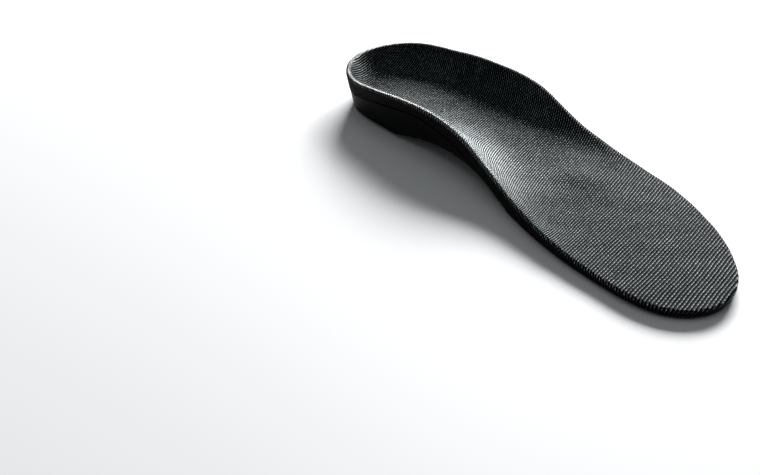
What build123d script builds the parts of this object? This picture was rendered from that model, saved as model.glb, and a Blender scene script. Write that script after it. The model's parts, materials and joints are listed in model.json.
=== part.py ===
from build123d import *
from math import cos, exp, hypot, radians, sin
import os

os.makedirs("parts", exist_ok=True)

# A cushioned insole for a left foot, in millimetres. +Y runs from heel to toe, +X points to the
# arch (inner) side and +Z is up. The origin is the middle of the underside, where the insole
# lies on the ground. Outlines and profiles below are measured from the back of the heel.

# ---------------------------------------------------------------- driving dimensions
MIDDLE = (-1.94, 136.25)     # the origin, as seen from the back of the heel
WALL_FLARE = 0.2            # outward lean of the side wall, mm per mm of height
COVER = 1.1                 # knitted top cover
SHELL = 1.8                 # moulded heel and arch shell
LINER = 0.7                 # fabric under the front half
LINER_INSET = 0.3           # the fabric stops this far short of the side wall
BEVEL = (1.2, 1.6)          # width and height of the bevel round the shell's bottom edge
RIM_WIDTH = 2.6             # flat width of the cup's rim
PIECE_GAP = 0.3             # clearance across the flex line
BLANK_TOP = 40.0            # the side wall is drawn this high, then trimmed to the rim

# Outer edge of the rim as seen from above: round the heel, up the arch side, round the toes
# and back down the outer side. Heel and toes are round; the sides pass through one point about
# every 30 mm.
HEEL_AT, HEEL_RADIUS = (1.5, 35.5), 34.5
TOES_AT, TOES_RADIUS = (11.0, 246.0), 25.5
ARCH_SIDE = [(36, 50), (33, 80), (30, 110), (32, 140), (37, 170), (40, 200), (39.5, 230)]
OUTER_SIDE = [(-21, 250), (-34, 225), (-42.5, 195), (-44, 165), (-42, 130), (-42, 95), (-38, 60)]


def round_points(centre, radius, angles):
    """Points of a round end at these angles, in degrees from +X."""
    return [(centre[0] + radius * cos(radians(angle)), centre[1] + radius * sin(radians(angle)))
            for angle in angles]


RIM_OUTLINE = [*round_points(HEEL_AT, HEEL_RADIUS, (-90, -50, -12)), *ARCH_SIDE,
               *round_points(TOES_AT, TOES_RADIUS, (33, 78, 120)), *OUTER_SIDE,
               *round_points(HEEL_AT, HEEL_RADIUS, (187, 227))]
# Height of the rim along each side, as pairs of distance from the heel and height.
ARCH_SIDE_RIM = [(-20, 21), (0, 21), (30, 21.5), (50, 24), (80, 27), (110, 25), (140, 16.5),
                 (170, 9.5), (200, 6.3), (235, 5), (300, 5)]
OUTER_SIDE_RIM = [(-20, 21), (0, 21), (30, 21.5), (60, 24), (95, 22.5), (130, 12.7),
                  (165, 6.4), (195, 5), (235, 5), (300, 5)]
# Height of the foot bed along the middle of the insole.
FOOT_BED = [(-20, 8), (30, 8), (70, 8.6), (105, 9), (140, 7.4), (175, 5.6), (205, 5), (300, 5)]
# Height of the shell's top edge along each side, and its front edge as seen from above.
ARCH_SIDE_SHELL = [(-20, 9.5), (0, 9.5), (30, 12), (60, 18), (82, 21), (104, 17), (122, 11.5),
                   (140, 8), (155, 5.5), (300, 5.5)]
OUTER_SIDE_SHELL = [(-20, 9.5), (0, 9.5), (30, 11), (60, 14), (90, 12.5), (112, 7), (130, 3),
                    (150, 2), (300, 2)]
SHELL_FRONT = [(-60, 128), (-4, 156), (56, 132)]

CUP_FALL = 3.6              # how fast the cup wall falls to the foot bed, mm
ARCH_FALL = 4.5             # extra width of that slope at the middle of the arch
ARCH_MIDDLE = 108.0         # where along the insole the arch is highest
ARCH_REACH = 38.0           # half length of the arch slope
ARCH_RELIEF = 5.5           # how far the underside lifts at the arch edge
RELIEF_EDGE = 28.0          # the edge where it lifts that far
RELIEF_SLOPE = 12.0         # degrees; the lift fades towards the middle of the insole

HEEL_PAD_AT = (1.5, 37.0)
HEEL_PAD_WINDOW = (16.5, 21.5)   # half width and half length of the window in the shell
HEEL_PAD_LIP = 3.0               # the pad reaches this far under the foam, past the window
HEEL_PAD_TOP = 4.8
HEEL_PAD_RECESS = 0.4            # its lower face sits this far up inside the window
ARCH_PAD_AT = (27.0, 102.0)
ARCH_PAD_SIZE = (15.0, 33.0)
ARCH_PAD_SPAN = (11.0, 34.0)
ARCH_PAD_TOP = (5.6, 15.5)       # its top slopes up between these heights towards the arch edge
BALL_PAD_AT = (-12.0, 162.0)     # metatarsal pad, just behind the ball of the foot
BALL_PAD_SIZE = (14.0, 19.0)
BALL_PAD_BASE = 3.2
BALL_PAD_RISE = 1.1              # how much of the pad shows as a low dome
FRONT_PAD_AT = (0.0, 211.0)      # cushion under the ball of the foot
FRONT_PAD_SIZE = (30.0, 15.0)
FRONT_PAD_TOP = 2.5

FLEX_AT = (-1.5, 186.0)     # the flex line passes here, under the ball of the foot
FLEX_SKEW = 18.5            # degrees; the line runs forward towards the arch side


# ---------------------------------------------------------------- shape helpers
def place(x, y):
    """A point measured from the back of the heel, seen from the origin."""
    return x - MIDDLE[0], y - MIDDLE[1]


def along(profile, y):
    """Smooth curve through the (distance, height) pairs of a profile."""
    last = len(profile) - 2
    i = max(k for k in range(last + 1) if k == 0 or profile[k][0] <= y)
    (y0, z0), (y1, z1) = profile[i], profile[i + 1]
    before, after = profile[max(i - 1, 0)], profile[min(i + 2, last + 1)]
    slope0 = (z1 - before[1]) / (y1 - before[0])
    slope1 = (after[1] - z0) / (after[0] - y0)
    span = y1 - y0
    t = min(max((y - y0) / span, 0.0), 1.0)
    return (z0 * (1 + 2 * t) * (1 - t) ** 2 + z1 * t * t * (3 - 2 * t)
            + slope0 * span * t * (1 - t) ** 2 - slope1 * span * t * t * (1 - t))


def across(arch_profile, outer_profile, x, y):
    """Height at (x, y) between the arch side profile and the outer side profile."""
    share = min(max((x + 42.0) / 80.0, 0.0), 1.0)
    return share * along(arch_profile, y) + (1 - share) * along(outer_profile, y)


def rim_height(x, y):
    return across(ARCH_SIDE_RIM, OUTER_SIDE_RIM, x, y)


def outward(i):
    """Unit vector pointing out of the rim outline at its point i."""
    (x0, y0), (x1, y1) = RIM_OUTLINE[i - 1], RIM_OUTLINE[(i + 1) % len(RIM_OUTLINE)]
    size = hypot(x1 - x0, y1 - y0)
    return (y1 - y0) / size, (x0 - x1) / size


def wall_points(height, inset):
    """Points of the side wall at a height, moved inwards by inset."""
    points = []
    for i, (x, y) in enumerate(RIM_OUTLINE):
        out_x, out_y = outward(i)
        shift = WALL_FLARE * (height - rim_height(x, y)) - inset
        points.append(place(x + out_x * shift, y + out_y * shift))
    return points


def wall_outline(height, inset):
    """Arcs round the heel, waist, toes and ball, joined by smooth sides."""
    p = wall_points(height, inset)
    heel = ThreePointArc(p[21], p[0], p[1])
    waist = ThreePointArc(p[4], p[5], p[6])
    toes = ThreePointArc(p[10], p[11], p[12])
    ball = ThreePointArc(p[14], p[15], p[16])
    Spline(*p[1:5], tangents=(heel % 1, waist % 0))
    Spline(*p[6:11], tangents=(waist % 1, toes % 0))
    Spline(*p[12:15], tangents=(toes % 1, ball % 0))
    Spline(*p[16:22], tangents=(ball % 1, heel % 0))


def wall_blank(inset, top=BLANK_TOP, bevel=(0, 0)):
    """Solid inside the side wall from the ground up, with an optional bevel at its foot."""
    stations = [(0, inset + bevel[0]), (bevel[1], inset), (top, inset)]
    if bevel[1] == 0:
        stations.pop(0)
    with BuildPart() as blank:
        for height, shift in stations:
            with BuildSketch(Plane.XY.offset(height)):
                with BuildLine():
                    wall_outline(height, shift)
                make_face()
        loft(ruled=True)
    return blank.part


with BuildLine() as rim_line:
    Spline(*[place(x, y) for x, y in RIM_OUTLINE], periodic=True)
RIM_SAMPLES = [(p.X, p.Y) for p in (rim_line.line @ (k / 400) for k in range(400))]


def edge_distance(x, y):
    """Distance from the rim outline, positive inside it."""
    x, y = place(x, y)
    gap, nearest = min((hypot(a - x, b - y), k) for k, (a, b) in enumerate(RIM_SAMPLES))
    here, ahead = RIM_SAMPLES[nearest], RIM_SAMPLES[(nearest + 1) % 400]
    side = (ahead[0] - here[0]) * (y - here[1]) - (ahead[1] - here[1]) * (x - here[0])
    return gap if side > 0 else -gap


def foot_surface(x, y):
    """The surface the foot rests on: the bed, its wall rising to the rim, and the ball dome."""
    bed = along(FOOT_BED, y)
    arch_share = 1 / (1 + exp((6.0 - x) / 5.0))
    fall = CUP_FALL + arch_share * ARCH_FALL * exp(-((y - ARCH_MIDDLE) / ARCH_REACH) ** 2)
    rise = 2 / (1 + exp((edge_distance(x, y) - RIM_WIDTH) / fall))
    dome_x = (x - BALL_PAD_AT[0]) / (0.7 * BALL_PAD_SIZE[0])
    dome_y = (y - BALL_PAD_AT[1]) / (0.7 * BALL_PAD_SIZE[1])
    dome = BALL_PAD_RISE * exp(-dome_x ** 2 - dome_y ** 2)
    return bed + (rim_height(x, y) - bed) * rise + dome


def lowered(surface, depth):
    """The same surface moved down square to its slope by depth."""
    def height(x, y):
        slope_x = (surface(x + 2, y) - surface(x - 2, y)) / 4
        slope_y = (surface(x, y + 2) - surface(x, y - 2)) / 4
        return surface(x, y) - depth * min(hypot(1, slope_x, slope_y), 2.4)
    return height


def rim_surface(x, y):
    """Level the rim is trimmed to. Ahead of the cup it lifts clear of the foot bed."""
    return rim_height(x, y) + 4.0 * min(max((y - 150.0) / 50.0, 0.0), 1.0) ** 2


def shell_surface(x, y):
    """Top edge of the shell."""
    return across(ARCH_SIDE_SHELL, OUTER_SIDE_SHELL, x, y)


def floor_zone(thickness):
    """Everything under the underside or, with a thickness, under a layer laid on it.

    The underside is level and lifts below the arch as part of a large tilted cylinder.
    """
    lift_radius = (ARCH_REACH ** 2 + ARCH_RELIEF ** 2) / (2 * ARCH_RELIEF)
    edge = (*place(RELIEF_EDGE, ARCH_MIDDLE), ARCH_RELIEF - lift_radius)
    with BuildPart() as zone:
        with Locations(Location(edge, (0, 90 - RELIEF_SLOPE, 0))):
            Cylinder(lift_radius + thickness, 160)
        if thickness > 0:
            with Locations((0, 0, thickness - 100)):
                Box(400, 400, 200)
    return zone.part


PROFILE_Y = range(-20, 291, 10)
SECTION_Y = range(-16, 295, 10)
SECTION_X = [-52, -47, -43, -39, -35, -31, -27, -20, -10, 0, 10, 18, 22, 26, 30, 34, 38, 42,
             46, 52]


def space_below(surface, floor=-20.0):
    """Everything between a height surface and a level floor."""
    with BuildPart() as space:
        for y in SECTION_Y:
            start = (0, place(0, y)[1], 0)
            with BuildSketch(Plane(origin=start, x_dir=(1, 0, 0), z_dir=(0, -1, 0))):
                with BuildLine():
                    edge = Spline(*[(place(x, 0)[0], surface(x, y)) for x in SECTION_X])
                    Polyline(edge @ 1, ((edge @ 1).X, floor), ((edge @ 0).X, floor), edge @ 0)
                make_face()
        loft()
    return space.part


def space_between(stations, surface, floor=-20.0):
    """Everything under straight lines drawn across the insole from one station to the next."""
    with BuildPart() as space:
        for x in stations:
            start = (place(x, 0)[0], 0, 0)
            with BuildSketch(Plane(origin=start, x_dir=(0, 1, 0), z_dir=(1, 0, 0))):
                with BuildLine():
                    edge = Spline(*[(place(0, y)[1], surface(x, y)) for y in PROFILE_Y])
                    Polyline(edge @ 1, ((edge @ 1).X, floor), ((edge @ 0).X, floor), edge @ 0)
                make_face()
        loft(ruled=True)
    return space.part


def flex_zone(ahead):
    """Block ahead of the flex line or behind it, half the clearance away from it."""
    direction = 1 if ahead else -1
    plane = Plane(origin=(*place(*FLEX_AT), 0), x_dir=(cos(radians(FLEX_SKEW)),
                  sin(radians(FLEX_SKEW)), 0), z_dir=(0, 0, 1))
    with BuildPart() as zone:
        with BuildSketch(plane):
            with Locations((0, direction * (150 + PIECE_GAP / 2))):
                Rectangle(160, 300)
        extrude(amount=60, both=True)
    return zone.part


def oval_column(centre, size, bottom, top, turn=0.0):
    """Upright oval column, for a pad or the recess that holds it."""
    with BuildPart() as column:
        with BuildSketch(Plane.XY.offset(bottom)):
            with Locations(place(*centre)):
                Ellipse(*size, rotation=turn)
        extrude(amount=top - bottom)
    return column.part


# ---------------------------------------------------------------- shared envelopes
SPAN = (-54, 52)            # either side of the insole, past its widest place
whole_wall = wall_blank(0)
bevelled_wall = wall_blank(0, bevel=BEVEL)
core_wall = wall_blank(COVER)
shell_inner_wall = wall_blank(SHELL)
liner_wall = wall_blank(LINER_INSET, top=LINER + 2 * ARCH_RELIEF)
below_foot = space_below(foot_surface)
below_cover = space_below(lowered(foot_surface, COVER))
below_rim = space_between(SPAN, rim_surface)
below_rim_cover = below_rim.moved(Pos(0, 0, -COVER))
below_shell_edge = space_between(SPAN, shell_surface)
lifted_out = floor_zone(0)
liner_zone = floor_zone(LINER)
shell_floor = floor_zone(SHELL)
behind_flex = flex_zone(ahead=False)
ahead_of_flex = flex_zone(ahead=True)

with BuildPart() as shell_zone:
    with BuildSketch():
        with BuildLine():
            front = ThreePointArc(*[place(x, y) for x, y in SHELL_FRONT])
            Polyline(front @ 1, place(SHELL_FRONT[2][0], -20), place(SHELL_FRONT[0][0], -20),
                     front @ 0)
        make_face()
    extrude(amount=BLANK_TOP)
    add(below_shell_edge, mode=Mode.INTERSECT)

with BuildPart() as core:                       # everything the cover encloses
    add(core_wall)
    add(below_cover, mode=Mode.INTERSECT)
    add(below_rim_cover, mode=Mode.INTERSECT)
    add(lifted_out, mode=Mode.SUBTRACT)

# ---------------------------------------------------------------- stabiliser shell
heel_column = oval_column(HEEL_PAD_AT, HEEL_PAD_WINDOW, -1, SHELL + 1)
with BuildPart() as shell_hollow:
    add(shell_inner_wall)
    add(shell_floor, mode=Mode.SUBTRACT)

with BuildPart() as plain_shell:                # before its window and its bevel
    add(whole_wall)
    add(shell_zone.part, mode=Mode.INTERSECT)
    add(lifted_out, mode=Mode.SUBTRACT)
    add(shell_hollow.part, mode=Mode.SUBTRACT)

with BuildPart() as stabiliser_shell:
    add(bevelled_wall)
    add(shell_zone.part, mode=Mode.INTERSECT)
    add(lifted_out, mode=Mode.SUBTRACT)
    add(shell_hollow.part, mode=Mode.SUBTRACT)
    add(heel_column, mode=Mode.SUBTRACT)
stabiliser_shell.part.label = "stabiliser_shell"

# ---------------------------------------------------------------- knitted top cover
with BuildPart() as top_cover:
    add(whole_wall)
    add(below_foot, mode=Mode.INTERSECT)
    add(below_rim, mode=Mode.INTERSECT)
    add(core.part, mode=Mode.SUBTRACT)
    add(plain_shell.part, mode=Mode.SUBTRACT)
    add(liner_zone, mode=Mode.SUBTRACT)
top_cover.part.label = "top_cover"

# ---------------------------------------------------------------- base liner
with BuildPart() as base_liner:
    add(liner_wall)
    add(liner_zone, mode=Mode.INTERSECT)
    add(lifted_out, mode=Mode.SUBTRACT)
    add(shell_zone.part, mode=Mode.SUBTRACT)
base_liner.part.label = "base_liner"

# ---------------------------------------------------------------- pads
heel_pad_window = oval_column(HEEL_PAD_AT, HEEL_PAD_WINDOW, HEEL_PAD_RECESS, SHELL)
heel_pad_lip = oval_column(HEEL_PAD_AT, [half + HEEL_PAD_LIP for half in HEEL_PAD_WINDOW],
                           SHELL, HEEL_PAD_TOP)
with BuildPart() as heel_pad:
    add(heel_pad_window)
    add(heel_pad_lip)
heel_pad.part.label = "heel_pad"

arch_column = oval_column(ARCH_PAD_AT, ARCH_PAD_SIZE, 0, BLANK_TOP)
with BuildPart() as arch_pad:
    with BuildSketch(Plane.XZ.offset(-place(0, ARCH_PAD_AT[1])[1])):
        with BuildLine():
            wedge = [place(x, 0)[0] for x in ARCH_PAD_SPAN]
            Polyline((wedge[0], 0), (wedge[1], 0), (wedge[1], ARCH_PAD_TOP[1]),
                     (wedge[0], ARCH_PAD_TOP[0]), close=True)
        make_face()
    extrude(amount=ARCH_PAD_SIZE[1], both=True)
    add(arch_column, mode=Mode.INTERSECT)
    add(shell_hollow.part, mode=Mode.INTERSECT)
arch_pad.part.label = "arch_pad"

ball_column = oval_column(BALL_PAD_AT, BALL_PAD_SIZE, BALL_PAD_BASE, BLANK_TOP)
with BuildPart() as metatarsal_pad:
    add(ball_column)
    add(core.part, mode=Mode.INTERSECT)
metatarsal_pad.part.label = "metatarsal_pad"

front_column = oval_column(FRONT_PAD_AT, FRONT_PAD_SIZE, LINER, FRONT_PAD_TOP, FLEX_SKEW)
with BuildPart() as forefoot_pad:
    add(front_column)
forefoot_pad.part.label = "forefoot_pad"

# ---------------------------------------------------------------- foam bodies
with BuildPart() as rear_foam:
    add(core.part)
    add(behind_flex, mode=Mode.INTERSECT)
    for neighbour in (liner_zone, stabiliser_shell.part, heel_column):
        add(neighbour, mode=Mode.SUBTRACT)
    for pad in (heel_pad.part, arch_pad.part, metatarsal_pad.part):
        add(pad, mode=Mode.SUBTRACT)
rear_foam.part.label = "rear_foam"

with BuildPart() as forefoot_foam:
    add(core.part)
    add(ahead_of_flex, mode=Mode.INTERSECT)
    add(liner_zone, mode=Mode.SUBTRACT)
    add(forefoot_pad.part, mode=Mode.SUBTRACT)
forefoot_foam.part.label = "forefoot_foam"

# ---------------------------------------------------------------- files
export_step(top_cover.part, "parts/top_cover.step")
export_step(stabiliser_shell.part, "parts/stabiliser_shell.step")
export_step(base_liner.part, "parts/base_liner.step")
export_step(heel_pad.part, "parts/heel_pad.step")
export_step(arch_pad.part, "parts/arch_pad.step")
export_step(metatarsal_pad.part, "parts/metatarsal_pad.step")
export_step(forefoot_pad.part, "parts/forefoot_pad.step")
export_step(rear_foam.part, "parts/rear_foam.step")
export_step(forefoot_foam.part, "parts/forefoot_foam.step")
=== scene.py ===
import json
import math
import bpy
import bmesh
import numpy as np
from mathutils import Matrix, Vector


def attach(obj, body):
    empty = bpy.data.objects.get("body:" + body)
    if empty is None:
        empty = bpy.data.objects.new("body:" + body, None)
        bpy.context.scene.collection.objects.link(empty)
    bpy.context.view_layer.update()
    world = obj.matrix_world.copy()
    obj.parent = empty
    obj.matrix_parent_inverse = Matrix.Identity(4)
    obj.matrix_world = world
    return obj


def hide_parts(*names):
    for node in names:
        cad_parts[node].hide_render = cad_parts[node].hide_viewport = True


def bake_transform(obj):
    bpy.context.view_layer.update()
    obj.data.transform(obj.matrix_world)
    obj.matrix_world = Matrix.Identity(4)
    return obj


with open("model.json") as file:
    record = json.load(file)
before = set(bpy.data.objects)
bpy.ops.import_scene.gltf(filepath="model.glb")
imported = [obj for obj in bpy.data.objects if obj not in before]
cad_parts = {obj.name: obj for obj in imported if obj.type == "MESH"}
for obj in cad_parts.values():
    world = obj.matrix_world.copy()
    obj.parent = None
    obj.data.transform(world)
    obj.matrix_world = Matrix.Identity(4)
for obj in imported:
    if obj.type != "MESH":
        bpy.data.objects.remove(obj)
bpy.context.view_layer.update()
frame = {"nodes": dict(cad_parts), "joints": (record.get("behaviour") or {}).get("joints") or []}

# The cushioned insole, for a left foot. Places are in millimetres measured from the back of the
# heel, as in the CAD; MIDDLE is the frame's origin seen from there. Profiles are pairs of
# distance from the heel and height.
MIDDLE = np.array([-1.94, 136.25])
WALL_FLARE = 0.2            # outward lean of the side wall, mm per mm of height
RIM_WIDTH = 2.6             # flat width of the cup's rim
HEEL_AT, HEEL_RADIUS = (1.5, 35.5), 34.5
TOES_AT, TOES_RADIUS = (11.0, 246.0), 25.5
ARCH_SIDE = [(36, 50), (33, 80), (30, 110), (32, 140), (37, 170), (40, 200), (39.5, 230)]
OUTER_SIDE = [(-21, 250), (-34, 225), (-42.5, 195), (-44, 165), (-42, 130), (-42, 95), (-38, 60)]


def round_points(centre, radius, angles):
    """Points of a round end at these angles, in degrees from +X."""
    return [(centre[0] + radius * math.cos(math.radians(angle)),
             centre[1] + radius * math.sin(math.radians(angle))) for angle in angles]


RIM_OUTLINE = [*round_points(HEEL_AT, HEEL_RADIUS, (-90, -50, -12)), *ARCH_SIDE,
               *round_points(TOES_AT, TOES_RADIUS, (33, 78, 120)), *OUTER_SIDE,
               *round_points(HEEL_AT, HEEL_RADIUS, (187, 227))]
OUTER_EDGE, EDGE_TO_EDGE = -42.0, 80.0   # X of the outer side profiles; the arch side is 80 on
ARCH_SIDE_RIM = [(-20, 21), (0, 21), (30, 21.5), (50, 24), (80, 27), (110, 25), (140, 16.5),
                 (170, 9.5), (200, 6.3), (235, 5), (300, 5)]
OUTER_SIDE_RIM = [(-20, 21), (0, 21), (30, 21.5), (60, 24), (95, 22.5), (130, 12.7),
                  (165, 6.4), (195, 5), (235, 5), (300, 5)]
FOOT_BED = [(-20, 8), (30, 8), (70, 8.6), (105, 9), (140, 7.4), (175, 5.6), (205, 5), (300, 5)]
ARCH_SIDE_SHELL = [(-20, 9.5), (0, 9.5), (30, 12), (60, 18), (82, 21), (104, 17), (122, 11.5),
                   (140, 8), (155, 5.5), (300, 5.5)]
OUTER_SIDE_SHELL = [(-20, 9.5), (0, 9.5), (30, 11), (60, 14), (90, 12.5), (112, 7), (130, 3),
                    (150, 2), (300, 2)]
SHELL_FRONT = [(-60, 128), (-4, 156), (56, 132)]
CUP_FALL, ARCH_FALL = 3.6, 4.5           # width of the cup wall's slope, and what the arch adds
ARCH_FROM, ARCH_FADE = 6.0, 5.0          # X where the wider slope of the arch fades in
ARCH_MIDDLE, ARCH_REACH = 108.0, 38.0    # where the arch is highest, and half its length
ARCH_RELIEF = 5.5                        # how far the underside lifts under the arch edge
RELIEF_EDGE, RELIEF_SLOPE = 28.0, math.radians(12)       # X where it lifts that far
FRONT_FROM, FRONT_OVER, FRONT_LIFT = 150.0, 50.0, 4.0    # ahead, pads may rise over the rim
RIM_SOFTNESS = 0.35                      # rounding between the slope and the rim's flat
LINER = 0.7                              # thickness of the fabric underneath
BALL_PAD_AT, BALL_PAD_SIZE, BALL_PAD_RISE = (-12.0, 162.0), (14.0, 19.0), 1.1
DOME_SPREAD = 0.7                        # the dome's spread, as a share of the pad's size

# The knit, in millimetres. Ribs lie at RIB_TURN from the X axis; RIB_PITCH is their spacing at a
# distance from the heel. Over the arch they are pushed forwards, more and more towards its edge:
# by PUSH at PUSH_WIDTH from PUSH_FROM. Behind LEAN_TO they lean forwards by LEAN as well.
RIB_TURN = math.radians(18.5)
RIB_PITCH = [(-20, 1.38), (110, 1.38), (165, 1.40), (190, 1.48), (230, 1.60), (300, 1.64)]
PUSH, PUSH_FROM, PUSH_WIDTH, PUSH_TO = 7.0, -6.0, 34.0, 42.0
PUSH_MIDDLE, PUSH_REACH = 112.0, 50.0
LEAN, LEAN_TO, LEAN_FADE = 0.08, 205.0, 45.0
RIB_HEIGHT = 0.44
LOOP_DIP = 0.15             # how much lower a rib is between its loops, as a share
WALL_FLATTER, RIM_FLATTER = 0.5, 0.35    # and how much lower on the side wall and the rim
STITCH = 2.1                # length of one loop along a rib
CLIMB_CLOTH = 0.62          # flat cloth for each mm of climb up the cup; it stretches the rest
CLOTH = 0.95                # thickness
EDGE_ROUND = 1.2            # radius of the cover's turn over the rim
HEM_TUCK, HEM_HEIGHT = 0.35, 0.8         # the bottom edge tucks in over its last bit of height
HEM_GAP, HEM_FADE = 0.05, 1.5            # it clears what it ends on, and steps down this gently

# Where the look of the knit changes: on the side wall, measured along the cloth, where a painted
# shade makes it nearly black; on the rim where it stands up over the foot bed; where the arch
# pulls the cloth tight, under a painted highlight; in the heel cup, under a painted shade.
WALL_FROM, WALL_OVER = 1.0, 1.3
RAISED_FROM, RAISED_OVER = 3.0, 6.0
RIM_BAND, RIM_SIDE, RIM_FADE = 0.2, -24.0, 20.0
TAUT_HIGHLIGHT_AT, TAUT_HIGHLIGHT_SIZE = (16.0, 116.0), (16.0, 38.0)
CUP_TO, CUP_FADE = 105.0, 50.0

# The knit's mesh.
ROW_STEP = 0.3              # between rows, which run along the ribs
TIP_STEP, TIP_RADIUS, TIP_DEPTH = 0.9, 34.0, 1.7         # rows close up at the heel and toe tips
COLUMNS, EVEN_SHARE = 84, 0.62           # columns close up a little at both sides
RIM_ROWS, WALL_ROWS = 6, 30
COARSE, CHUNK = 4, 20000    # rim points skipped in the first search, and points at a time
LADDER_STEP = 0.25          # between the places where ribs are counted


def along(profile, y):
    """Smooth curve through the (distance, height) pairs of a profile."""
    ys, zs = np.array(profile, float).T
    y = np.asarray(y, float)
    i = np.clip(np.searchsorted(ys, y, side="right") - 1, 0, len(ys) - 2)
    before, after = np.maximum(i - 1, 0), np.minimum(i + 2, len(ys) - 1)
    slope0 = (zs[i + 1] - zs[before]) / (ys[i + 1] - ys[before])
    slope1 = (zs[after] - zs[i]) / (ys[after] - ys[i])
    span = ys[i + 1] - ys[i]
    t = np.clip((y - ys[i]) / span, 0, 1)
    return (zs[i] * (1 + 2 * t) * (1 - t) ** 2 + zs[i + 1] * t * t * (3 - 2 * t)
            + slope0 * span * t * (1 - t) ** 2 - slope1 * span * t * t * (1 - t))


def across(arch_profile, outer_profile, x, y):
    """Height at (x, y) between the arch side profile and the outer side profile."""
    share = np.clip((x - OUTER_EDGE) / EDGE_TO_EDGE, 0, 1)
    return share * along(arch_profile, y) + (1 - share) * along(outer_profile, y)


def rim_height(x, y):
    return across(ARCH_SIDE_RIM, OUTER_SIDE_RIM, x, y)


def smooth(t):
    """Soft step from 0 to 1 as t goes from 0 to 1."""
    t = np.clip(t, 0, 1)
    return t * t * (3 - 2 * t)


def closed_curve(points, step):
    """A smooth closed curve through the points, sampled about every step."""
    p = np.array(points, float)
    n = len(p)
    ahead = np.roll(p, -1, 0)
    span = np.linalg.norm(ahead - p, axis=1)
    rows, right = np.zeros((n, n)), np.zeros((n, 2))
    for i in range(n):
        a, b = span[i - 1], span[i]
        rows[i, i - 1], rows[i, i], rows[i, (i + 1) % n] = a, 2 * (a + b), b
        right[i] = 6 * ((ahead[i] - p[i]) / b - (p[i] - p[i - 1]) / a)
    bend = np.linalg.solve(rows, right)
    pieces = []
    for i in range(n):
        j, h = (i + 1) % n, span[i]
        t = np.linspace(0, h, max(int(h / step), 2), endpoint=False)[:, None]
        pieces.append(bend[i] * (h - t) ** 3 / (6 * h) + bend[j] * t ** 3 / (6 * h)
                      + (p[i] / h - bend[i] * h / 6) * (h - t) + (p[j] / h - bend[j] * h / 6) * t)
    return np.concatenate(pieces)


RIM = closed_curve(RIM_OUTLINE, 0.15)
RIM_AHEAD = np.roll(RIM, -1, 0) - np.roll(RIM, 1, 0)
RIM_OUT = np.stack([RIM_AHEAD[:, 1], -RIM_AHEAD[:, 0]], 1)
RIM_OUT /= np.linalg.norm(RIM_OUT, axis=1)[:, None]


def from_rim(points):
    """Distance inside the rim and the outward direction of the nearest rim point."""
    coarse = RIM[::COARSE]
    nearest = np.empty(len(points), int)
    for k in range(0, len(points), CHUNK):
        part = points[k:k + CHUNK]
        gap = ((part[:, None, :] - coarse[None]) ** 2).sum(2)
        nearest[k:k + CHUNK] = gap.argmin(1) * COARSE
    best, best_gap = nearest, np.full(len(points), np.inf)
    for shift in range(-COARSE, COARSE + 1):
        k = (nearest + shift) % len(RIM)
        gap = ((points - RIM[k]) ** 2).sum(1)
        best = np.where(gap < best_gap, k, best)
        best_gap = np.minimum(gap, best_gap)
    out = RIM_OUT[best]
    return -((points - RIM[best]) * out).sum(1), out


def bed_height(x, y):
    """The foot bed with the metatarsal pad's dome, without the cup and arch."""
    dome_x = (x - BALL_PAD_AT[0]) / (DOME_SPREAD * BALL_PAD_SIZE[0])
    dome_y = (y - BALL_PAD_AT[1]) / (DOME_SPREAD * BALL_PAD_SIZE[1])
    return along(FOOT_BED, y) + BALL_PAD_RISE * np.exp(-dome_x ** 2 - dome_y ** 2)


def foot_surface(points, inside):
    """Height of the surface that the foot rests on, at points this far inside the rim."""
    x, y = points.T
    arch_share = 1 / (1 + np.exp((ARCH_FROM - x) / ARCH_FADE))
    fall = CUP_FALL + arch_share * ARCH_FALL * np.exp(-((y - ARCH_MIDDLE) / ARCH_REACH) ** 2)
    rise = 2 / (1 + np.exp((inside - RIM_WIDTH) / fall))
    rim, bed = rim_height(x, y), along(FOOT_BED, y)
    height = bed_height(x, y) + (rim - bed) * rise
    limit = rim + FRONT_LIFT * np.clip((y - FRONT_FROM) / FRONT_OVER, 0, 1) ** 2
    gap = np.clip(0.5 + (limit - height) / (2 * RIM_SOFTNESS), 0, 1)
    return limit + (height - limit) * gap - RIM_SOFTNESS * gap * (1 - gap)


def lift(x, y, extra=0.0):
    """Height of the underside, or of a layer this much above it, where the arch is relieved."""
    radius = (ARCH_REACH ** 2 + ARCH_RELIEF ** 2) / (2 * ARCH_RELIEF)
    axis = ARCH_RELIEF - radius + (x - RELIEF_EDGE) * math.tan(RELIEF_SLOPE)
    chord = np.sqrt(np.maximum((radius + extra) ** 2 - (y - ARCH_MIDDLE) ** 2, 0))
    return np.maximum(axis + chord / math.cos(RELIEF_SLOPE), extra)


def shell_front_y(x):
    """The shell's front edge as seen from above, a curve through SHELL_FRONT."""
    (x0, y0), (x1, y1), (x2, y2) = SHELL_FRONT
    rows = np.array([[x0 * x0, x0, 1], [x1 * x1, x1, 1], [x2 * x2, x2, 1]], float)
    a, b, c = np.linalg.solve(rows, np.array([y0, y1, y2], float))
    return a * x * x + b * x + c


def wall_bottom(x, y):
    """Where the cover ends on the side wall: on the shell's edge, or on the liner ahead of it."""
    shell = np.maximum(across(ARCH_SIDE_SHELL, OUTER_SIDE_SHELL, x, y), lift(x, y))
    behind = smooth((shell_front_y(x) - y) / HEM_FADE + 0.5)
    liner = lift(x, y, LINER)
    return liner + np.maximum(shell - liner, 0) * behind + HEM_GAP


# ------------------------------------------------------------------ building meshes
def to_frame(points):
    """Millimetres from the back of the heel to metres in the frame."""
    moved = np.array(points, float)
    moved[:, 0] -= MIDDLE[0]
    moved[:, 1] -= MIDDLE[1]
    return moved * 0.001


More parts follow.
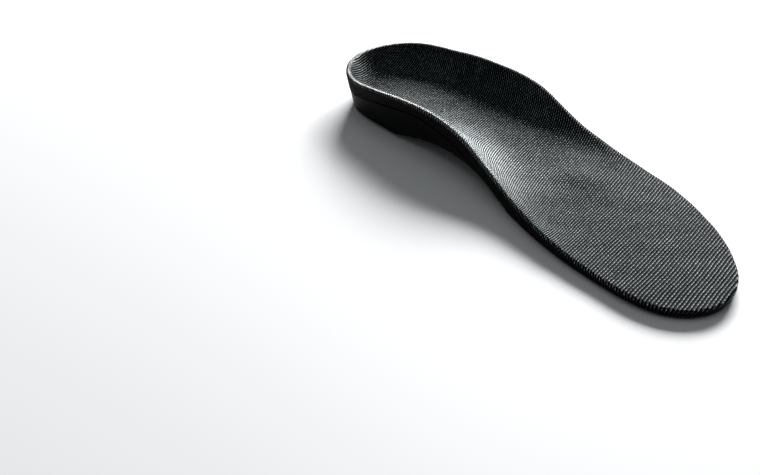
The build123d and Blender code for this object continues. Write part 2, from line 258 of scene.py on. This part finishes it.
def make_object(name, verts, faces, attributes):
    """A smooth-shaded object with a three-part value per point for each attribute."""
    mesh = bpy.data.meshes.new(name)
    mesh.from_pydata(verts.tolist(), [], faces)
    mesh.update()
    mesh.polygons.foreach_set("use_smooth", np.ones(len(mesh.polygons), bool))
    for key, values in attributes.items():
        layer = mesh.attributes.new(key, "FLOAT_VECTOR", "POINT")
        layer.data.foreach_set("vector", np.asarray(values, np.float32).ravel())
    made = bpy.data.objects.new(name, mesh)
    bpy.context.collection.objects.link(made)
    return made


def vertex_normals(verts, quads, tris):
    normals = np.zeros_like(verts)
    for group in (quads, tris):
        if len(group) == 0:
            continue
        a, b, c = verts[group[:, 0]], verts[group[:, 1]], verts[group[:, 2]]
        d = verts[group[:, -1]]
        face = np.cross(c - a, d - b) if group.shape[1] == 4 else np.cross(b - a, c - a)
        for k in range(group.shape[1]):
            np.add.at(normals, group[:, k], face)
    return normals / np.maximum(np.linalg.norm(normals, axis=1), 1e-12)[:, None]


RIB_ALONG = np.array([math.cos(RIB_TURN), math.sin(RIB_TURN)])
RIB_ACROSS = np.array([-math.sin(RIB_TURN), math.cos(RIB_TURN)])
# The number of ribs behind each of many places across the cloth.
ladder_at = np.arange(-60.0, 340.0, LADDER_STEP)
ladder = np.concatenate([[0], np.cumsum(LADDER_STEP / along(RIB_PITCH, ladder_at[:-1]))])


def rib_phase(u, v):
    """How many ribs lie behind a point of the unrolled cloth, with the knit's slight waves."""
    x, y = u * RIB_ALONG[0] + v * RIB_ACROSS[0], u * RIB_ALONG[1] + v * RIB_ACROSS[1]
    side = np.clip(x - PUSH_FROM, 0, PUSH_TO)
    ahead = PUSH * (side / PUSH_WIDTH) ** 3 * np.exp(-((y - PUSH_MIDDLE) / PUSH_REACH) ** 2)
    ahead = ahead + LEAN * x * smooth((LEAN_TO - y) / LEAN_FADE)
    v = v - ahead * math.cos(RIB_TURN)
    wave = (0.30 * np.sin(u * 0.061 + 1.7 * np.sin(v * 0.043))
            + 0.13 * np.sin(u * 0.19 + v * 0.11 + 0.6)
            + 0.05 * np.sin(u * 0.83 - v * 0.37))
    return np.interp(v + wave, ladder_at, ladder)


def row_places(first, last):
    """Where the mesh's rows lie across the ribs, closer together at both tips."""
    near = [(TIP_STEP * k) ** 2 / (2 * TIP_RADIUS) for k in range(1, 40)]
    near = [place for place in near if place < TIP_DEPTH]
    middle = np.linspace(first + near[-1], last - near[-1],
                         int((last - first - 2 * near[-1]) / ROW_STEP) + 1)[1:-1]
    return np.concatenate([first + np.array(near), middle, last - np.array(near[::-1])])


def row_ends(rows, inner, low, high):
    """Where each row meets the outer and the arch side, and which way is out there."""
    u, v = inner @ RIB_ALONG, inner @ RIB_ACROSS
    order = (low + np.arange(len(inner) + 1)) % len(inner)
    turn = (high - low) % len(inner)
    sides = []
    for chain in (order[:turn + 1], order[turn:][::-1]):
        rising = np.maximum.accumulate(v[chain])
        rising = rising + np.arange(len(rising)) * 1e-9
        sides.append([np.interp(rows, rising, column) for column in
                      (u[chain], RIM_OUT[chain, 0], RIM_OUT[chain, 1])])
    if sides[0][0].mean() > sides[1][0].mean():
        sides.reverse()
    return sides


def wall_rings(edge, edge_top, rim_xy, out):
    """Rings of points round the rim and down the side wall, and their way from the edge."""
    bottom = wall_bottom(*rim_xy.T)
    rings, paths = [], []
    for k in range(1, RIM_ROWS + 1):
        angle = math.pi / 2 * k / RIM_ROWS
        reach, drop = EDGE_ROUND * math.sin(angle), EDGE_ROUND * (1 - math.cos(angle))
        rings.append(np.column_stack([edge + out * reach, edge_top - drop]))
        paths.append(np.full(len(edge), EDGE_ROUND * angle))
    start = edge_top - EDGE_ROUND
    for k in range(1, WALL_ROWS + 1):
        z = start + (bottom - start) * (k / WALL_ROWS)
        tuck = HEM_TUCK * np.clip(1 - (z - bottom) / HEM_HEIGHT, 0, 1) ** 2
        shift = WALL_FLARE * (z - start) - tuck
        rings.append(np.column_stack([rim_xy + out * shift[:, None], z]))
        paths.append(EDGE_ROUND * math.pi / 2 + (start - z))
    return rings, paths


def slack(u, v):
    """A little slack in the cloth, so that it isn't perfectly smooth between foam and foot."""
    return (0.10 * np.sin(u * 0.12 + 0.7) * np.sin(v * 0.09 + 1.1)
            + 0.05 * np.sin(u * 0.31 + v * 0.17))


def build_cover():
    """The ribbed cover: a grid over the foot bed, whose edge goes on round the rim as a wall."""
    inner = RIM - EDGE_ROUND * RIM_OUT
    v = inner @ RIB_ACROSS
    low, high = int(v.argmin()), int(v.argmax())
    rows = row_places(v[low], v[high])
    outer, arch = row_ends(rows, inner, low, high)
    t = np.linspace(0, 1, COLUMNS)
    share = EVEN_SHARE * t + (1 - EVEN_SHARE) * (1 - np.cos(np.pi * t)) / 2
    gu = outer[0][:, None] * (1 - share) + arch[0][:, None] * share
    grid = gu[..., None] * RIB_ALONG + rows[:, None, None] * RIB_ACROSS
    plan = np.concatenate([inner[low][None], grid.reshape(-1, 2), inner[high][None]])
    inside, out = from_rim(plan)
    height = foot_surface(plan, inside)
    top = np.column_stack([plan, height])

    index = 1 + np.arange(len(rows) * COLUMNS).reshape(len(rows), COLUMNS)
    last = 1 + index.size
    quads = np.stack([index[:-1, :-1], index[:-1, 1:], index[1:, 1:], index[1:, :-1]],
                     -1).reshape(-1, 4)
    tris = [(0, index[0, k + 1], index[0, k]) for k in range(COLUMNS - 1)]
    tris += [(last, index[-1, k], index[-1, k + 1]) for k in range(COLUMNS - 1)]
    tris = np.array(tris)

    # The edge of the grid once round, and the wall that hangs from it.
    loop = np.concatenate([[0], index[:, -1], [last], index[::-1, 0]])
    loop_out = np.concatenate([[RIM_OUT[low]], np.stack(arch[1:], 1), [RIM_OUT[high]],
                               np.stack(outer[1:], 1)[::-1]])
    loop_out /= np.linalg.norm(loop_out, axis=1)[:, None]
    rim_xy = plan[loop] + EDGE_ROUND * loop_out
    rings, paths = wall_rings(plan[loop], height[loop], rim_xy, loop_out)
    count = len(loop)
    verts = np.concatenate([top] + rings)
    ring_index = [loop] + [last + 1 + k * count + np.arange(count) for k in range(len(rings))]
    band = [np.stack([a, b, np.roll(b, -1), np.roll(a, -1)], -1)
            for a, b in zip(ring_index, ring_index[1:])]
    quads = np.concatenate([quads] + band)

    # Where each point lies on the flat cloth, in millimetres.
    climb = np.maximum(height - bed_height(*plan.T), 0) * CLIMB_CLOTH
    flat = [plan + out * climb[:, None]]
    flat += [flat[0][loop] + loop_out * path[:, None] for path in paths]
    flat = np.concatenate(flat)
    fu, fv = flat @ RIB_ALONG, flat @ RIB_ACROSS
    phase = rib_phase(fu, fv)

    # How much each point belongs to the wall (painted shade), the raised rim, the stretched arch
    # (painted highlight) and the heel cup (painted shade).
    x, y = np.concatenate([plan, np.tile(rim_xy, (len(rings), 1))]).T
    path = np.concatenate([np.zeros(len(top))] + paths)
    on_wall = smooth((path - WALL_FROM) / WALL_OVER)
    raised = smooth((rim_height(x, y) - along(FOOT_BED, y) - RAISED_FROM) / RAISED_OVER)
    to_edge = np.concatenate([inside - EDGE_ROUND] + [-path for path in paths])
    rim_share = np.exp(-(to_edge - RIM_BAND) ** 2) * raised * smooth((x - RIM_SIDE) / RIM_FADE)
    # Over the arch's front slope the cloth is stretched, and its colour there is lightened as a
    # painted highlight.
    taut_and_highlight = np.exp(-((x - TAUT_HIGHLIGHT_AT[0]) / TAUT_HIGHLIGHT_SIZE[0]) ** 2
                  - ((y - TAUT_HIGHLIGHT_AT[1]) / TAUT_HIGHLIGHT_SIZE[1]) ** 2) * (1 - on_wall)
    # In the heel cup the colour is darkened as a painted shade, and the loops show less.
    cup = smooth((CUP_TO - y) / CUP_FADE) * (1 - rim_share)

    rib = 0.5 + 0.5 * np.cos(2 * np.pi * phase)
    loops = 0.5 + 0.5 * np.cos(2 * np.pi * (fu / STITCH + 0.5 * (np.floor(phase + 0.5) % 2)))
    flattened = (1 - WALL_FLATTER * smooth(path / 2.0)) * (1 - RIM_FLATTER * rim_share)
    relief = RIB_HEIGHT * (rib ** 0.8 - 0.5) * (1 - LOOP_DIP + LOOP_DIP * loops) * flattened
    normals = vertex_normals(verts, quads, tris)
    outer_skin = verts + normals * (relief + slack(fu, fv))[:, None]
    under = verts - normals * CLOTH
    hem_a, hem_b = ring_index[-1], ring_index[-1] + len(verts)
    hem = np.stack([hem_a, hem_b, np.roll(hem_b, -1), np.roll(hem_a, -1)], -1)
    faces = [tuple(f) for f in quads.tolist()] + [tuple(f) for f in tris.tolist()]
    faces += [tuple(i + len(verts) for i in reversed(f)) for f in faces]
    faces += [tuple(f) for f in hem.tolist()]
    knit = np.column_stack([fu, phase, on_wall])
    edge = np.column_stack([rim_share, taut_and_highlight, cup])
    return make_object("knitted_cover", to_frame(np.concatenate([outer_skin, under])), faces,
                       {"knit": np.tile(knit, (2, 1)), "edge": np.tile(edge, (2, 1))})


SKIN_GAP = 0.12             # soft copies stay this far inside their CAD solids, in mm


def remeshed(name, node, voxel, relief):
    """A soft copy of a CAD solid, evenly meshed so that it can bend, with a relief in mm."""
    source = frame["nodes"][node]
    rough = bpy.data.objects.new(name + "_rough", source.data.copy())
    bpy.context.collection.objects.link(rough)
    weld = rough.modifiers.new("weld", "WELD")
    weld.merge_threshold = 1e-6
    remesh = rough.modifiers.new("remesh", "REMESH")
    remesh.mode = "VOXEL"
    remesh.voxel_size = voxel * 0.001
    ready = rough.evaluated_get(bpy.context.evaluated_depsgraph_get())
    mesh = bpy.data.meshes.new_from_object(ready)
    bpy.data.objects.remove(rough)
    mesh.name = name
    mesh.materials.clear()
    mesh.polygons.foreach_set("use_smooth", np.ones(len(mesh.polygons), bool))
    count = len(mesh.vertices)
    at, normal = np.empty(count * 3), np.empty(count * 3)
    mesh.vertices.foreach_get("co", at)
    mesh.vertices.foreach_get("normal", normal)
    at, normal = at.reshape(-1, 3), normal.reshape(-1, 3)
    depth = relief(at * 1000, normal) - SKIN_GAP
    mesh.vertices.foreach_set("co", (at + normal * depth[:, None] * 0.001).ravel())
    mesh.update()
    made = bpy.data.objects.new(name, mesh)
    bpy.context.collection.objects.link(made)
    return made


def sliced(name, node, step, direction):
    """A copy of a thin CAD solid cut across every step millimetres, so that it can bend."""
    source = frame["nodes"][node]
    work = bmesh.new()
    work.from_mesh(source.data)
    bmesh.ops.remove_doubles(work, verts=work.verts, dist=1e-6)
    for way, gap in ((direction, step), (Vector((direction.y, -direction.x, 0)), 2 * step)):
        places = [v.co.dot(way) for v in work.verts]
        for k in range(int(min(places) / gap * 1000) - 1, int(max(places) / gap * 1000) + 2):
            cut = way * (k * gap / 1000)
            bmesh.ops.bisect_plane(work, geom=work.verts[:] + work.edges[:] + work.faces[:],
                                   plane_co=cut, plane_no=way, dist=1e-7)
    mesh = bpy.data.meshes.new(name)
    work.to_mesh(mesh)
    work.free()
    made = bpy.data.objects.new(name, mesh)
    bpy.context.collection.objects.link(made)
    return made


# ------------------------------------------------------------------ materials
class Nodes:
    """A material with a Principled shader, and short ways to add nodes to it."""

    def __init__(self, name):
        self.material = bpy.data.materials.new(name)
        self.material.use_nodes = True
        self.tree = self.material.node_tree
        self.shader = self.tree.nodes["Principled BSDF"]

    def link(self, value, socket):
        if isinstance(value, bpy.types.NodeSocket):
            self.tree.links.new(value, socket)
        else:
            socket.default_value = value

    def math(self, operation, *values):
        node = self.tree.nodes.new("ShaderNodeMath")
        node.operation = operation
        for value, socket in zip(values, node.inputs):
            self.link(value, socket)
        return node.outputs[0]

    def noise(self, scale, detail=3.0, rough=0.55):
        node = self.tree.nodes.new("ShaderNodeTexNoise")
        node.inputs["Scale"].default_value = scale
        node.inputs["Detail"].default_value = detail
        node.inputs["Roughness"].default_value = rough
        self.tree.links.new(self.place(), node.inputs["Vector"])
        return node.outputs[0]

    def place(self):
        return self.tree.nodes.new("ShaderNodeTexCoord").outputs["Object"]

    def ramp(self, value, *stops):
        node = self.tree.nodes.new("ShaderNodeValToRGB")
        ramp = node.color_ramp
        while len(ramp.elements) < len(stops):
            ramp.elements.new(0.5)
        for element, (at, colour) in zip(ramp.elements, stops):
            element.position = at
            element.color = (*colour, 1)
        self.link(value, node.inputs[0])
        return node.outputs[0]

    def mix(self, share, a, b):
        node = self.tree.nodes.new("ShaderNodeMix")
        node.data_type = "RGBA"
        self.link(share, node.inputs[0])
        self.link(a if isinstance(a, bpy.types.NodeSocket) else (*a, 1), node.inputs[6])
        self.link(b if isinstance(b, bpy.types.NodeSocket) else (*b, 1), node.inputs[7])
        return node.outputs[2]

    def bump(self, height, distance, strength):
        node = self.tree.nodes.new("ShaderNodeBump")
        node.inputs["Strength"].default_value = strength
        node.inputs["Distance"].default_value = distance
        self.link(height, node.inputs["Height"])
        self.link(node.outputs[0], self.shader.inputs["Normal"])

    def parts(self, attribute):
        """The three numbers that the mesh keeps for each point under this name."""
        read = self.tree.nodes.new("ShaderNodeAttribute")
        read.attribute_name = attribute
        split = self.tree.nodes.new("ShaderNodeSeparateXYZ")
        self.tree.links.new(read.outputs["Vector"], split.inputs[0])
        return split.outputs

    def wave(self, turns):
        """Rises to 1 at every whole turn and falls to 0 between them."""
        angle = self.math("MULTIPLY", turns, math.tau)
        return self.math("MULTIPLY_ADD", self.math("COSINE", angle), 0.5, 0.5)

    def vary(self, value, noise, amount):
        """The value raised and lowered by a noise that runs from 0 to 1."""
        return self.math("MULTIPLY_ADD", self.math("SUBTRACT", noise, 0.5), amount, value)

    def set(self, **values):
        for name, value in values.items():
            self.link(value, self.shader.inputs[name.replace("_", " ")])


def knit_material():
    """Pale loops on dark ground, the dark between ribs partly painted crevice shade: lit on the
    foot bed, and a painted shade, nearly black, on the side wall.
    """
    m = Nodes("cover_knit")
    u, phase, on_wall = m.parts("knit")
    rim, taut_and_highlight, cup = m.parts("edge")
    crest = m.wave(phase)
    rank = m.math("FLOOR", m.math("ADD", phase, 0.5))
    # Every other rib's loops are half a loop further on.
    loops = m.wave(m.math("ADD", m.math("FRACT", m.math("MULTIPLY", rank, 0.5)),
                          m.math("DIVIDE", u, STITCH)))
    fibre = m.noise(2600.0, 4.0, 0.7)
    cloud = m.noise(55.0, 3.0, 0.5)
    uneven = m.noise(850.0, 2.0, 0.5)
    # The loops show less where the cloth is stretched over the arch or pressed into the cup.
    depth = m.math("MULTIPLY_ADD", taut_and_highlight, -0.25, m.math("MULTIPLY_ADD", cup, -0.24, 0.42))
    dots = m.math("MULTIPLY_ADD", m.math("SUBTRACT", m.math("POWER", loops, 1.3), 1.0), depth, 1.0)
    # The dark between ribs and loops is partly the knit's own colour and partly painted crevice
    # shade.
    stitch_and_crevice_shade = m.math("MULTIPLY", m.math("POWER", crest, 2.4), dots)
    tone = m.vary(m.vary(stitch_and_crevice_shade, fibre, 0.7), cloud, 0.35)
    tone = m.vary(tone, uneven, m.math("MULTIPLY_ADD", taut_and_highlight, -0.45, 0.85))
    # Painted highlight: lighter colour over the arch's front slope. Painted shade: darker colour
    # in the heel cup.
    tone = m.math("MULTIPLY_ADD", taut_and_highlight, 0.09, m.math("MULTIPLY_ADD", cup, -0.13, tone))
    # The ramp's near-black low end is partly painted shade in the rib valleys; its pale top is the
    # loops' own colour.
    lit = m.ramp(tone, (0.20, (0.0005, 0.0006, 0.0007)), (0.48, (0.012, 0.0155, 0.0165)),
                 (0.72, (0.090, 0.117, 0.124)), (1.0, (0.56, 0.69, 0.72)))
    # Painted shade: the side wall's colour, nearly black, as if the wall were unlit.
    dark = m.ramp(tone, (0.1, (0.0006, 0.0006, 0.0006)), (0.9, (0.0045, 0.0047, 0.0048)))
    height = m.math("MULTIPLY_ADD", fibre, 0.35, stitch_and_crevice_shade)
    m.bump(height, 0.00022, 0.9)
    shine = m.math("MULTIPLY_ADD", m.math("POWER", crest, 1.5),
                   m.math("MULTIPLY_ADD", taut_and_highlight, 1.0, 0.15),
                   m.math("MULTIPLY_ADD", on_wall, -0.02, 0.02))
    # On the side wall the base colour turns to the painted shade.
    m.set(Base_Color=m.mix(on_wall, lit, dark),
          Roughness=m.math("MULTIPLY_ADD", rim, -0.12,
                           m.math("MULTIPLY_ADD", fibre, 0.25, 0.36)),
          Sheen_Weight=m.math("MULTIPLY_ADD", on_wall, -0.02, 0.02), Sheen_Roughness=0.4,
          Sheen_Tint=(0.80, 0.88, 0.92, 1),
          Specular_IOR_Level=m.math("MULTIPLY_ADD", rim, 0.75, shine))
    return m.material


def shell_material():
    m = Nodes("shell_plastic")
    grain = m.noise(1500.0, 4.0, 0.6)
    cloud = m.noise(40.0, 3.0, 0.5)
    colour = m.ramp(cloud, (0.3, (0.0005, 0.00055, 0.0006)), (0.7, (0.0011, 0.0012, 0.0013)))
    m.bump(grain, 0.00006, 0.6)
    m.set(Base_Color=colour, Roughness=m.math("MULTIPLY_ADD", grain, 0.18, 0.40),
          Specular_IOR_Level=0.06)
    return m.material


def foam_material(name, dark, light, cells=1400.0):
    """Fine closed cells, this many to the metre."""
    m = Nodes(name)
    node = m.tree.nodes.new("ShaderNodeTexVoronoi")
    node.inputs["Scale"].default_value = cells
    m.tree.links.new(m.place(), node.inputs["Vector"])
    cloud = m.noise(60.0, 3.0, 0.5)
    tone = m.math("MULTIPLY_ADD", node.outputs["Distance"], 0.6, m.math("MULTIPLY", cloud, 0.6))
    m.bump(node.outputs["Distance"], 0.0002, 0.7)
    m.set(Base_Color=m.ramp(tone, (0.25, dark), (0.75, light)), Roughness=0.85,
          Specular_IOR_Level=0.25)
    return m.material


def gel_material():
    m = Nodes("gel")
    cloud = m.noise(90.0, 3.0, 0.5)
    colour = m.ramp(cloud, (0.3, (0.030, 0.034, 0.038)), (0.7, (0.052, 0.058, 0.064)))
    m.bump(m.noise(700.0, 2.0, 0.5), 0.00008, 0.5)
    m.set(Base_Color=colour, Roughness=m.math("MULTIPLY_ADD", cloud, 0.15, 0.22),
          Specular_IOR_Level=0.5, Subsurface_Weight=0.15, Subsurface_Scale=0.002)
    return m.material


def liner_material():
    m = Nodes("liner_fabric")
    split = m.tree.nodes.new("ShaderNodeSeparateXYZ")
    m.tree.links.new(m.place(), split.inputs[0])
    turn = math.tau / 0.0009        # one weave cell is 0.9 mm
    warp = m.math("SINE", m.math("MULTIPLY", split.outputs[0], turn))
    weft = m.math("SINE", m.math("MULTIPLY", split.outputs[1], turn))
    weave = m.math("MULTIPLY_ADD", m.math("MULTIPLY", warp, weft), 0.5, 0.5)
    fibre = m.noise(3000.0, 3.0, 0.6)
    tone = m.math("MULTIPLY_ADD", fibre, 0.5, m.math("MULTIPLY", weave, 0.5))
    colour = m.ramp(tone, (0.2, (0.006, 0.0063, 0.0066)), (0.85, (0.024, 0.025, 0.026)))
    m.bump(tone, 0.00012, 0.8)
    m.set(Base_Color=colour, Roughness=0.8, Sheen_Weight=0.1, Specular_IOR_Level=0.3)
    return m.material


def paper_material():
    """Pale paper that glows more with distance, a painted light that keeps it pale past the reach
    of the lamps.
    """
    m = Nodes("floor_paper")
    cloud = m.noise(3.0)
    away = m.tree.nodes.new("ShaderNodeVectorMath")
    away.operation = "LENGTH"
    m.link(m.place(), away.inputs[0])
    far = m.math("DIVIDE", away.outputs["Value"], 3.0)
    m.set(Base_Color=m.ramp(cloud, (0.3, (0.885, 0.895, 0.905)), (0.7, (0.895, 0.905, 0.915))),
          # Painted light: the floor glows far from the insole, where the lamps no longer reach.
          Emission_Color=m.ramp(far, (0.2, (0, 0, 0)), (0.7, (0.75, 0.78, 0.80))),
          Emission_Strength=1.0, Roughness=0.6, Specular_IOR_Level=0.3)
    return m.material


# ------------------------------------------------------------------ the pieces
hinge = next(j for j in frame["joints"] if j["name"] == "ball_flex")
hinge_axis = Vector(hinge["axis"])
ahead = Vector((-hinge_axis.y, hinge_axis.x, 0)).normalized()


def bending(piece):
    """Bake the piece's placement into its mesh."""
    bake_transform(piece)


def dress(piece, material):
    """Give the piece its material."""
    piece.data.materials.clear()
    piece.data.materials.append(material)


foam = foam_material("foam", (0.010, 0.0105, 0.011), (0.034, 0.036, 0.038))
pad_foam = foam_material("pad_foam", (0.05, 0.055, 0.06), (0.14, 0.15, 0.16), 1000.0)

cover = build_cover()
dress(cover, knit_material())
bending(cover)
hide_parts("top_cover")

liner = sliced("liner_fabric_sheet", "base_liner", 2.0, ahead)
dress(liner, liner_material())
bending(liner)
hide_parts("base_liner")


def foam_skin(at, normal):
    """The faint unevenness of cut foam."""
    return 0.04 * np.sin(at[:, 0] * 1.9) * np.sin(at[:, 1] * 1.7 + at[:, 2])


STUD_PITCH, STUD_RISE = 3.4, 0.28


def gel_relief(at, normal):
    """Small round studs on the face that shows through the shell's window."""
    studs = np.cos(at[:, 0] * 2 * np.pi / STUD_PITCH) * np.cos(at[:, 1] * 2 * np.pi / STUD_PITCH)
    return np.where(normal[:, 2] < -0.7, STUD_RISE * np.clip(studs, -0.2, 1), 0.0)


# The CAD node, the new piece's name, its mesh's cell size in millimetres, and its relief.
for node, name, voxel, relief in (
        ("rear_foam", "rear_foam_body", 0.9, foam_skin),
        ("forefoot_foam", "forefoot_foam_body", 0.8, foam_skin),
        ("metatarsal_pad", "metatarsal_pad_body", 0.45, foam_skin),
        ("forefoot_pad", "forefoot_pad_body", 0.45, foam_skin),
        ("arch_pad", "arch_pad_body", 0.6, foam_skin),
        ("heel_pad", "heel_gel_pad", 0.45, gel_relief)):
    piece = remeshed(name, node, voxel, relief)
    if node == "heel_pad":
        dress(piece, gel_material())
    elif "pad" in node:
        dress(piece, pad_foam)
    else:
        dress(piece, foam)
    if node in ("heel_pad", "arch_pad"):
        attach(piece, "rear")
    else:
        bending(piece)
    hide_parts(node)

shell = frame["nodes"]["stabiliser_shell"]
shell.data.materials.clear()
shell.data.materials.append(shell_material())

# ------------------------------------------------------------------ floor, light and camera
FLOOR_HALF, FLOOR_GAP = 12.0, 0.0006     # metres; the floor lies a hair under the insole
BACKDROP, FILL = 0.98, 0.12              # brightness of the background, and of the light it gives
CAMERA_AT, CAMERA_AIM = Vector((0.364, 0.384, 0.3135)), Vector((0.0958, 0.0014, 0.0))
CAMERA_TILT = math.radians(0.9)


def add_floor():
    corners = [(-1, -1), (1, -1), (1, 1), (-1, 1)]
    mesh = bpy.data.meshes.new("floor")
    mesh.from_pydata([(x * FLOOR_HALF, y * FLOOR_HALF, 0) for x, y in corners], [],
                     [(0, 1, 2, 3)])
    mesh.materials.append(paper_material())
    floor = bpy.data.objects.new("floor", mesh)
    floor.location.z = -FLOOR_GAP
    bpy.context.collection.objects.link(floor)


def area_light(name, at, aim, size, power, colour):
    data = bpy.data.lights.new(name, "AREA")
    data.shape = "RECTANGLE"
    data.size, data.size_y = size
    data.energy = power
    data.color = colour
    light = bpy.data.objects.new(name, data)
    light.location = at
    light.rotation_euler = (Vector(aim) - Vector(at)).to_track_quat("-Z", "Y").to_euler()
    bpy.context.collection.objects.link(light)


def studio_world():
    """A bright background in view that gives the object only a little fill light."""
    world = bpy.data.worlds.new("studio")
    bpy.context.scene.world = world
    world.use_nodes = True
    sky = world.node_tree.nodes["Background"]
    sky.inputs[0].default_value = (0.93, 0.97, 1.0, 1)
    ray = world.node_tree.nodes.new("ShaderNodeLightPath")
    level = world.node_tree.nodes.new("ShaderNodeMath")
    level.operation = "MULTIPLY_ADD"
    level.inputs[1].default_value = BACKDROP - FILL
    level.inputs[2].default_value = FILL
    world.node_tree.links.new(ray.outputs["Is Camera Ray"], level.inputs[0])
    world.node_tree.links.new(level.outputs[0], sky.inputs[1])


def add_camera():
    data = bpy.data.cameras.new("camera")
    data.lens, data.sensor_width = 56.8, 36.0
    data.clip_start = 0.01
    camera = bpy.data.objects.new("camera", data)
    look = (CAMERA_AIM - CAMERA_AT).normalized()
    right = Matrix.Rotation(CAMERA_TILT, 3, look) @ look.cross(Vector((0, 0, 1))).normalized()
    camera.matrix_world = Matrix.Translation(CAMERA_AT) @ Matrix(
        (right, right.cross(look), -look)).transposed().to_4x4()
    bpy.context.collection.objects.link(camera)
    bpy.context.scene.camera = camera


add_floor()
area_light("key", (-1.46, -1.03, 0.84), (0, 0.03, 0), (1.2, 0.7), 98.0, (1.0, 1.0, 1.0))
area_light("top", (0.15, 0.1, 1.9), (0, 0.03, 0), (1.6, 1.6), 2.6, (0.97, 1.0, 1.0))
studio_world()
add_camera()
bpy.context.scene.view_settings.view_transform = "Standard"
